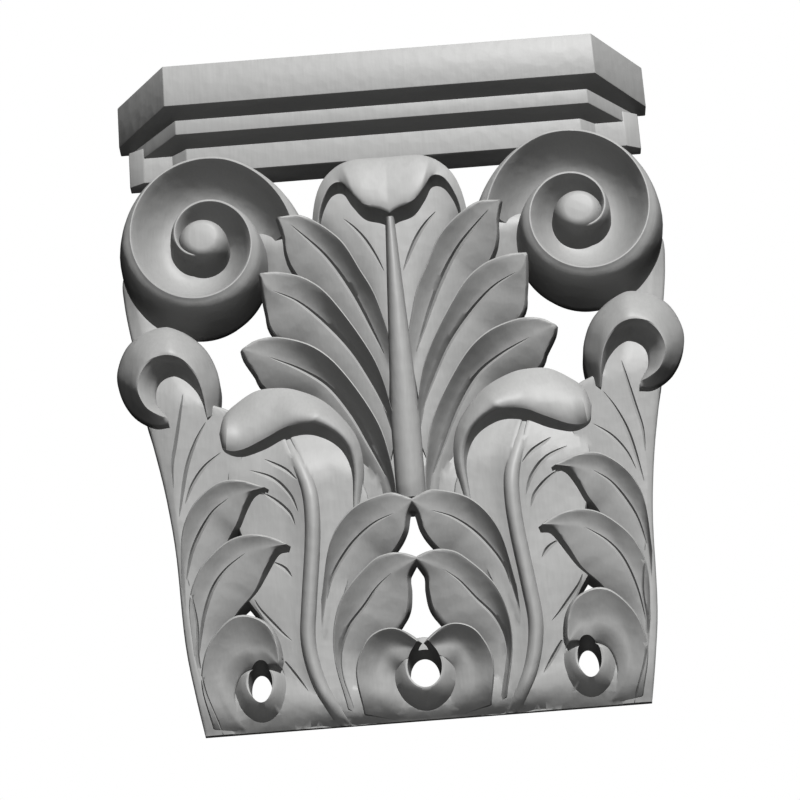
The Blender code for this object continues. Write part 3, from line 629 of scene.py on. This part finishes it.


# %% [markdown]
# The knob and the rings round the eyes are turned forms: half a section spun about an axis that
# stands out of the wall. The rings are then made a little taller than wide.

# %% Knob and rings
def turned(name, x, down, profile, steps, taller=1.0, sink_top=False):
    mesh = bmesh.new()
    widest = max(radius for radius, _ in profile)
    points = [mesh.verts.new((radius / 1000, -out / 1000, 0)) for radius, out in profile]
    edges = [mesh.edges.new(pair) for pair in zip(points, points[1:])]
    bmesh.ops.spin(mesh, geom=points + edges, cent=(0, 0, 0), axis=(0, 1, 0), angle=2 * math.pi,
                   steps=steps, use_merge=True, use_duplicate=False)
    bmesh.ops.remove_doubles(mesh, verts=mesh.verts, dist=1e-6)
    bmesh.ops.holes_fill(mesh, edges=[e for e in mesh.edges if e.is_boundary], sides=0)
    for v in mesh.verts:
        out = -v.co.y * 1000
        if sink_top and out > 0:
            out *= 1 - 0.6 * min(1.0, max(0.0, v.co.z * 1000 / widest - 0.3) / 0.4)
        v.co = place(x + v.co.x * 1000, down - v.co.z * 1000 * taller, out) if out > 0 else Vector(
            ((x + v.co.x * 1000) / 1000, v.co.y, (ABACUS_HEIGHT / 2 - down) / 1000 + v.co.z * taller))
    piece = keep(mesh, name)
    made_pieces.append(piece)
    return piece


knob_round = [(math.sin(a), 1 - math.cos(a)) for a in np.radians((0, 15, 30, 45, 60, 75, 90))]
knob = [(0, VOLUTE_KNOB_OUT)]
knob += [(KNOB_FLAT + (VOLUTE_KNOB_RADIUS - KNOB_FLAT) * r, VOLUTE_KNOB_OUT - KNOB_DROP * drop)
         for r, drop in knob_round]
knob += [(VOLUTE_KNOB_RADIUS + 0.6, 24), (VOLUTE_KNOB_RADIUS + 0.6, -9)]
turned("knob", VOLUTE_CENTRE_X, VOLUTE_CENTRE_DOWN, knob, 64)
for name, eye in (("centre_ring", CENTRE_EYE), ("corner_ring", CORNER_EYE)):
    wide, out = eye["ring_wide"], eye["out"]
    crest = eye["wide"] + 1.0
    ring = [(0, out + 1.5), (crest - 0.8, out + 2.2), (crest, out + 2.4), (crest + 0.8, out + 2.0),
            (crest + (wide - crest) * 0.5, out - 0.4), (wide, out - 4.0),
            (wide + 0.6, out - 7), (wide + 0.6, -9)]
    turned(name, eye["x"], eye["down"], ring, 64, eye["ring_high"] / wide, sink_top=True)
print("turned pieces:", [p.name for p in made_pieces[-3:]])


# %% [markdown]
# The abacus is sawn, not carved: three flat steps with mitred ends, each set back under the one
# above. Its edges are eased with a small bevel, because a sharp edge of wood doesn't last. Each step
# starts inside the one above, because shells that only touch don't join well.

# %% Abacus, neck and core
def prism(name, outline, low, high, ease=0.0):
    """A straight block: the outline is (x, out), and it runs from low to high, down from the top."""
    mesh = bmesh.new()
    level = (ABACUS_HEIGHT / 2 - low) / 1000
    corners = [mesh.verts.new((x / 1000, -out / 1000, level)) for x, out in outline]
    face = mesh.faces.new(corners)
    grown = bmesh.ops.extrude_face_region(mesh, geom=[face])["geom"]
    bmesh.ops.translate(mesh, verts=[v for v in grown if isinstance(v, bmesh.types.BMVert)],
                        vec=(0, 0, -(high - low) / 1000))
    if ease:
        bmesh.ops.bevel(mesh, geom=list(mesh.edges), offset=ease / 1000, segments=2, profile=0.5,
                        affect="EDGES", material=-1)
    piece = keep(mesh, name)
    made_pieces.append(piece)
    return piece


STEP_TOPS = (0, 5, 7)
STEP_BOTTOMS = (STEP_HEIGHTS[0], STEP_HEIGHTS[0] + STEP_HEIGHTS[1], ABACUS_HEIGHT)
for i in range(3):
    front, end, out = STEP_FRONT_HALF_WIDTHS[i], STEP_END_HALF_WIDTHS[i], ABACUS_DEPTH - STEP_SETBACK * i
    side = FIRST_STEP_RETURN if i == 0 else 0.5
    plan = [(-20, out), (front, out), (end, side), (end, -BEHIND_WALL), (-20, -BEHIND_WALL)]
    prism(f"abacus_step_{i + 1}", plan, STEP_TOPS[i], STEP_BOTTOMS[i], EDGE_EASE)
prism("neck", [(62, 10), (122, 10), (129.5, 6), (129.5, -7), (62, -7)], 25, 45, EDGE_EASE)
prism("core", [(-20, 14), (18, 14), (18, -8), (-20, -8)], 34, 80)
print("shells in all:", len(made_pieces))

# %% [markdown]
# All the shells overlap, so they are joined into one body, as the block is one body. The Manifold
# solver of the Boolean modifier does this in moments, where the Exact one would take minutes. Then
# the half is trimmed at the wall, at the centre line and at the bottom.


# %% Join the shells
def boolean(target, other, operation):
    step = target.modifiers.new(operation.lower(), "BOOLEAN")
    step.operation = operation
    step.solver = "MANIFOLD"
    step.object = other
    graph = bpy.context.evaluated_depsgraph_get()
    data = bpy.data.meshes.new_from_object(target.evaluated_get(graph))
    target.modifiers.clear()
    old = target.data
    target.data = data
    bpy.data.meshes.remove(old)
    bpy.data.objects.remove(other)


carving = made_pieces[[p.name for p in made_pieces].index("abacus_step_1")]
for piece in [p for p in made_pieces if p is not carving]:
    before, name = len(carving.data.polygons), piece.name
    boolean(carving, piece, "UNION")
    print("joined", name, before, "->", len(carving.data.polygons))
carving.name = "corbel_carving"


# %% Trim it to the wall, the centre line and the bottom
room = prism("room", [(0, 100), (200, 100), (200, 0), (0, 0)], -10, BOTTOM)
boolean(carving, room, "INTERSECT")
print("trimmed half:", len(carving.data.polygons), "faces")

# %% [markdown]
# The veins are cut last, with a V-tool, as a carver cuts them. Each one is a path on the drawing
# board, with a width and a depth. A ray from the eye finds the surface behind each point of the path,
# and a thin wedge that is deepest in its middle and runs out at both ends is taken away there. The
# wedge stands a little proud of the surface, so that no thin skin of wood is left above the cut.

# %% Paths of the V-tool
VEINS = {
    "lobe_1_vein": ([(50, 67), (33.7, 86.1), (22.1, 107), (12.7, 130.5), (8, 143)], 2.6, 2.4),
    "lobe_2_vein": ([(61, 103), (48.9, 110.3), (36.3, 123.5), (24.4, 140), (14.8, 159.7),
                     (8.9, 175.1)], 2.6, 2.4),
    "lobe_3_vein": ([(65.5, 139.3), (50.1, 147.8), (37.3, 158.3), (26.9, 174.7), (19.1, 192.5),
                     (11.8, 210.3)], 2.6, 2.4),
    "top_vein": ([(23.4, 66.1), (18, 72), (13.1, 79), (8.6, 88), (4.7, 97.6)], 2.2, 1.8),
    "inner_1_vein": ([(9.2, 230.4), (19.6, 235.1), (29.7, 243.6), (38, 254.5), (43.3, 264.6),
                      (46, 274.9)], 2.0, 1.7),
    "inner_2_vein": ([(13.1, 263.3), (20.6, 270.4), (27.8, 280.3), (36.6, 291.7), (41.1, 304.6),
                      (41.1, 319), (37.1, 333.7)], 2.0, 1.7),
    "corner_1_vein": ([(91.4, 215.1), (101, 223.7), (110.8, 241.1), (115.5, 258.4)], 2.0, 1.7),
    "corner_2_vein": ([(85, 246), (95.7, 254.6), (103, 265), (108.6, 281.1), (112, 300.2)], 2.0, 1.7),
    "hook_vein": ([(109.8, 155.4), (115.1, 180.4), (118.1, 194.5), (118.4, 207.2)], 1.7, 1.4),
    "hook_side_vein": ([(99.4, 171.8), (105.7, 182.9), (111.3, 197.9), (116.6, 223.4)], 1.9, 1.6),
    "hook_low_vein": ([(93.1, 189.5), (102.2, 197), (108.9, 206.4), (113.1, 216.5)], 1.9, 1.6),
    "corner_edge": ([(114.9, 256.8), (111.7, 282), (112.5, 301.2), (110, 321.4),
                     (103.7, 339.6)], 1.4, 1.1),
    "mid_vein_1": ([(72, 195.2), (62.4, 201.5), (56.3, 208.1)], 2.2, 1.8),
    "mid_vein_2": ([(79.9, 200.6), (68.7, 206), (60.9, 215.5), (57.1, 225.8)], 2.2, 1.8),
    "mid_edge_1": ([(74.7, 213.2), (67.6, 218.8), (61.6, 225.9), (59.1, 232.8)], 2.2, 1.8),
    "mid_edge_2": ([(71.5, 252.2), (66.2, 256), (62.6, 261.3)], 2.2, 1.8),
    "mid_edge_3": ([(82.4, 271.7), (79.4, 278.6), (70.2, 291), (65.1, 296.5)], 2.0, 1.8),
    "mid_edge_4": ([(71.2, 304.8), (65.3, 314.7), (59, 324.7)], 2.0, 1.8),
}


# %% Cut the veins
V_TOOL_LIFT = 1.8


def v_cut(name, path, width, depth, steps=36):
    tree = BVHTree.FromObject(carving, bpy.context.evaluated_depsgraph_get())
    eye = Vector((0, -EYE_OUT / 1000, (ABACUS_HEIGHT / 2 - EYE_DOWN) / 1000))
    line = even([(x, s, 0) for x, s in path], steps)
    found, toward = [], []
    for x, s, _ in line:
        aim = seen(x, s, 20) - eye
        hit = tree.ray_cast(eye, aim.normalized())[0]
        found.append((eye - hit).length if hit else aim.length)
        toward.append(-aim.normalized())
    reach = np.convolve(np.pad(found, 1, mode="edge"), np.ones(3) / 3, mode="valid")
    centre = [eye - t * r for t, r in zip(toward, reach)]
    mesh = bmesh.new()
    bmesh.ops.create_grid(mesh, x_segments=2, y_segments=steps - 1, size=0.5)
    for v in mesh.verts:
        i = round((v.co.y + 0.5) * (steps - 1))
        share = i / (steps - 1)
        size = max(0.02, math.sin(math.pi * share) ** 0.6)
        way = (centre[min(i + 1, steps - 1)] - centre[max(i - 1, 0)]).normalized()
        side = way.cross(toward[i]).normalized()
        if abs(v.co.x) < 0.1:
            v.co = centre[i] - toward[i] * (depth * size / 1000)
        else:
            spread = width / 2000 * size * (1 + V_TOOL_LIFT / (depth * size))
            outward = side * (spread if v.co.x > 0 else -spread)
            v.co = centre[i] + toward[i] * (V_TOOL_LIFT / 1000) + outward
    edges = [e for e in mesh.edges if e.is_boundary]
    bmesh.ops.holes_fill(mesh, edges=edges, sides=0)
    bmesh.ops.triangulate(mesh, faces=[f for f in mesh.faces if len(f.verts) > 4])
    cutter = keep(mesh, name)
    boolean(carving, cutter, "DIFFERENCE")


for name, (path, width, depth) in VEINS.items():
    v_cut(name, path, width, depth)
print("after the veins:", len(carving.data.polygons), "faces")


# %% Pierce the eyes
def eye_cutter(name, eye):
    mesh = bmesh.new()
    points = [mesh.verts.new((radius / 1000, y / 1000, 0)) for radius, y in
              ((0, 20), (0.86, 20), (0.86, 0), (0.92, -6), (1.0, -13), (1.1, -40), (0, -40))]
    edges = [mesh.edges.new(pair) for pair in zip(points, points[1:])]
    bmesh.ops.spin(mesh, geom=points + edges, cent=(0, 0, 0), axis=(0, 1, 0), angle=2 * math.pi,
                   steps=48, use_merge=True, use_duplicate=False)
    bmesh.ops.scale(mesh, verts=mesh.verts, vec=(eye["wide"], 1, eye["high"]))
    level = (ABACUS_HEIGHT / 2 - eye["down"]) / 1000
    bmesh.ops.translate(mesh, verts=mesh.verts, vec=(eye["x"] / 1000, 0, level))
    return keep(mesh, name)


boolean(carving, eye_cutter("centre_eye", CENTRE_EYE), "DIFFERENCE")
boolean(carving, eye_cutter("corner_eye", CORNER_EYE), "DIFFERENCE")
print("eyes pierced:", len(carving.data.polygons), "faces")

# %% [markdown]
# The other half is a mirror image. The cut face on the centre line goes first, so that the two halves
# share their edge and nothing is left inside. An edge that turns by more than 35 degrees stays crisp.

# %% Mirror the half and set the shading
SAME_POINT = 1e-6
CRISP_ANGLE = math.radians(35)
whole = bmesh.new()
whole.from_mesh(carving.data)
bmesh.ops.remove_doubles(whole, verts=whole.verts, dist=SAME_POINT)
cap = [f for f in whole.faces if all(abs(v.co.x) < 2 * SAME_POINT for v in f.verts)]
bmesh.ops.delete(whole, geom=cap, context="FACES")
for v in whole.verts:
    if abs(v.co.x) < 2 * SAME_POINT:
        v.co.x = 0
bmesh.ops.triangulate(whole, faces=[f for f in whole.faces if len(f.verts) > 4])
bmesh.ops.mirror(whole, geom=whole.verts[:] + whole.edges[:] + whole.faces[:], axis="X",
                 merge_dist=SAME_POINT)
bmesh.ops.recalc_face_normals(whole, faces=whole.faces)
for face in whole.faces:
    face.smooth = True
for edge in whole.edges:
    edge.smooth = len(edge.link_faces) == 2 and edge.calc_face_angle(3.0) < CRISP_ANGLE
open_edges = sum(1 for e in whole.edges if len(e.link_faces) != 2)
carving.data.clear_geometry()
whole.to_mesh(carving.data)
triangles = sum(len(f.verts) - 2 for f in whole.faces)
whole.free()
print("carving:", triangles, "triangles,", open_edges, "open edges")

# %% [markdown]
# The finish is wood under an even grey primer, rubbed to a soft satin. Up close the primer is never
# quite one tone: the tool has left shallow facets, and the grain runs up and down under the coat. Two
# node groups hold the parts of it that could serve any finish.


# %% Node groups
FACETS_PER_METRE = 150.0


def socket(group, name, kind, way, value=None):
    made = group.interface.new_socket(name=name, socket_type=kind, in_out=way)
    if value is not None:
        made.default_value = value


tool_marks = bpy.data.node_groups.new("tool_marks", "ShaderNodeTree")
socket(tool_marks, "Vector", "NodeSocketVector", "INPUT")
socket(tool_marks, "Facets per metre", "NodeSocketFloat", "INPUT", FACETS_PER_METRE)
socket(tool_marks, "Height", "NodeSocketFloat", "OUTPUT")
nodes, links = tool_marks.nodes, tool_marks.links
inside, outside = nodes.new("NodeGroupInput"), nodes.new("NodeGroupOutput")
cells = nodes.new("ShaderNodeTexVoronoi")
cells.feature = "SMOOTH_F1"
cells.inputs["Smoothness"].default_value = 0.25
wave = nodes.new("ShaderNodeTexNoise")
wave.inputs["Detail"].default_value = 2.0
blend = nodes.new("ShaderNodeMix")
blend.inputs["Factor"].default_value = 0.45
links.new(inside.outputs["Vector"], cells.inputs["Vector"])
links.new(inside.outputs["Vector"], wave.inputs["Vector"])
links.new(inside.outputs["Facets per metre"], cells.inputs["Scale"])
links.new(inside.outputs["Facets per metre"], wave.inputs["Scale"])
links.new(cells.outputs["Distance"], blend.inputs["A"])
links.new(wave.outputs["Fac"], blend.inputs["B"])
links.new(blend.outputs["Result"], outside.inputs["Height"])

grain = bpy.data.node_groups.new("wood_grain", "ShaderNodeTree")
socket(grain, "Vector", "NodeSocketVector", "INPUT")
socket(grain, "Stretch", "NodeSocketVector", "INPUT", (1.0, 1.0, 0.06))
socket(grain, "Lines per metre", "NodeSocketFloat", "INPUT", 900.0)
socket(grain, "Mask", "NodeSocketFloat", "OUTPUT")
nodes, links = grain.nodes, grain.links
inside, outside = nodes.new("NodeGroupInput"), nodes.new("NodeGroupOutput")
pulled = nodes.new("ShaderNodeVectorMath")
pulled.operation = "MULTIPLY"
lines = nodes.new("ShaderNodeTexNoise")
lines.inputs["Detail"].default_value = 3.0
links.new(inside.outputs["Vector"], pulled.inputs[0])
links.new(inside.outputs["Stretch"], pulled.inputs[1])
links.new(pulled.outputs["Vector"], lines.inputs["Vector"])
links.new(inside.outputs["Lines per metre"], lines.inputs["Scale"])
links.new(lines.outputs["Fac"], outside.inputs["Mask"])
print("node groups:", [g.name for g in bpy.data.node_groups])

# %% The grey finish
GREY_LOW = (0.40, 0.40, 0.395, 1.0)
GREY_HIGH = (0.47, 0.47, 0.465, 1.0)
primer = bpy.data.materials.new("grey_primed_wood")
primer.use_nodes = True
nodes, links = primer.node_tree.nodes, primer.node_tree.links
shader = nodes["Principled BSDF"]
where = nodes.new("ShaderNodeTexCoord")
marks = nodes.new("ShaderNodeGroup")
marks.node_tree = tool_marks
marks.inputs["Facets per metre"].default_value = FACETS_PER_METRE
fibres = nodes.new("ShaderNodeGroup")
fibres.node_tree = grain
tone = nodes.new("ShaderNodeMix")
tone.data_type = "RGBA"
tone.inputs["A"].default_value = GREY_LOW
tone.inputs["B"].default_value = GREY_HIGH
rough = nodes.new("ShaderNodeMapRange")
rough.inputs["To Min"].default_value = 0.46
rough.inputs["To Max"].default_value = 0.58
marks_bump = nodes.new("ShaderNodeBump")
marks_bump.inputs["Strength"].default_value = 0.3
marks_bump.inputs["Distance"].default_value = 0.0009
fibre_bump = nodes.new("ShaderNodeBump")
fibre_bump.inputs["Strength"].default_value = 0.05
fibre_bump.inputs["Distance"].default_value = 0.0002
links.new(where.outputs["Object"], marks.inputs["Vector"])
links.new(where.outputs["Object"], fibres.inputs["Vector"])
links.new(fibres.outputs["Mask"], tone.inputs["Factor"])
links.new(tone.outputs["Result"], shader.inputs["Base Color"])
links.new(fibres.outputs["Mask"], rough.inputs["Value"])
links.new(rough.outputs["Result"], shader.inputs["Roughness"])
links.new(fibres.outputs["Mask"], fibre_bump.inputs["Height"])
links.new(marks.outputs["Height"], marks_bump.inputs["Height"])
links.new(fibre_bump.outputs["Normal"], marks_bump.inputs["Normal"])
links.new(marks_bump.outputs["Normal"], shader.inputs["Normal"])
carving.data.materials.clear()
carving.data.materials.append(primer)
carving.visible_diffuse = False
print("finish:", primer.name)

# %% Put the carving in the frame
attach(carving, "root")
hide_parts("carved_corbel")

# %% [markdown]
# The stage is plain: a pale floor well below the piece, and a white surround. The main light comes
# from the upper right in front, so that every hollow that faces down and to the left goes dark. A weak
# one, in front and below, keeps those from going quite black. The photograph is shaded like a drawing:
# nothing casts a shadow, and no form throws light on the next. So the lights cast no shadows, and the
# carving is left out of bounced light. The floor glows faintly, to stay pale from every side.

# %% Floor and surround
FLOOR_RADIUS = 4.0
FLOOR_DOWN = 1.25
mesh = bmesh.new()
bmesh.ops.create_circle(mesh, cap_ends=True, segments=64, radius=FLOOR_RADIUS)
bmesh.ops.translate(mesh, verts=mesh.verts, vec=(0, 0, -FLOOR_DOWN))
floor = keep(mesh, "floor")
pale = bpy.data.materials.new("pale_floor")
pale.use_nodes = True
paint = pale.node_tree.nodes["Principled BSDF"]
paint.inputs["Base Color"].default_value = (0.8, 0.8, 0.8, 1)
paint.inputs["Roughness"].default_value = 0.8
paint.inputs["Emission Color"].default_value = (1, 1, 1, 1)
paint.inputs["Emission Strength"].default_value = 0.55
floor.data.materials.append(pale)
floor.visible_diffuse = False
floor.visible_glossy = False

surround = bpy.data.worlds.new("surround")
surround.use_nodes = True
nodes, links = surround.node_tree.nodes, surround.node_tree.links
dim = nodes["Background"]
dim.inputs["Color"].default_value = (1, 1, 1, 1)
dim.inputs["Strength"].default_value = 0.01
white = nodes.new("ShaderNodeBackground")
white.inputs["Color"].default_value = (1, 1, 1, 1)
white.inputs["Strength"].default_value = 1.0
rays = nodes.new("ShaderNodeLightPath")
choose = nodes.new("ShaderNodeMixShader")
links.new(rays.outputs["Is Camera Ray"], choose.inputs["Fac"])
links.new(dim.outputs["Background"], choose.inputs[1])
links.new(white.outputs["Background"], choose.inputs[2])
links.new(choose.outputs["Shader"], nodes["World Output"].inputs["Surface"])
scene.world = surround
scene.view_settings.view_transform = "Standard"
scene.view_settings.gamma = 0.85


# %% Lights
LIGHT_SIZE = 0.6
AIM = (0, 0, -0.15)


def area_light(name, power, place_at):
    light = bpy.data.lights.new(name, "AREA")
    light.shape, light.size, light.energy = "DISK", LIGHT_SIZE, power
    light.use_shadow = False
    lamp = bpy.data.objects.new(name, light)
    scene.collection.objects.link(lamp)
    lamp.location = place_at
    lamp.rotation_euler = (Vector(AIM) - Vector(place_at)).to_track_quat("-Z", "Y").to_euler()


area_light("key_light", 262.0, (1.15, -3.35, 3.0))
area_light("fill_light", 46.0, (0.0, -4.0, -0.95))

# %% [markdown]
# The camera stands below the piece and looks up at it by 25 degrees, with a slight tilt, as in the
# photograph. Its lens is long, so the drawing board of the carver and the picture agree.

# %% Camera
CAMERA_TILT = math.radians(4.45)
FOCAL_PIXELS = 3430.0
PICTURE = 800
METRES_PER_PIXEL = 0.0005
TOP_EDGE_IN_PICTURE = (376.5, 49.8)

lens = bpy.data.cameras.new("camera")
lens.sensor_width = 36.0
lens.lens = FOCAL_PIXELS / PICTURE * lens.sensor_width
lens.clip_end = 50.0
camera = bpy.data.objects.new("camera", lens)
scene.collection.objects.link(camera)
forward = Vector((0, math.cos(VIEW), math.sin(VIEW)))
upward = Vector((0, -math.sin(VIEW), math.cos(VIEW)))
across = Vector((1, 0, 0))
right = across * math.cos(CAMERA_TILT) - upward * math.sin(CAMERA_TILT)
up = across * math.sin(CAMERA_TILT) + upward * math.cos(CAMERA_TILT)
top_edge = Vector((0, -ABACUS_DEPTH / 1000, ABACUS_HEIGHT / 2000))
from_middle = Vector((TOP_EDGE_IN_PICTURE[0] - PICTURE / 2, PICTURE / 2 - TOP_EDGE_IN_PICTURE[1]))
offset = from_middle * METRES_PER_PIXEL
stand = top_edge - forward * FOCAL_PIXELS * METRES_PER_PIXEL - right * offset.x - up * offset.y
pose = Matrix((right, up, -forward)).transposed().to_4x4()
pose.translation = stand
camera.matrix_world = pose
scene.camera = camera
print("camera at", tuple(round(c, 3) for c in stand))
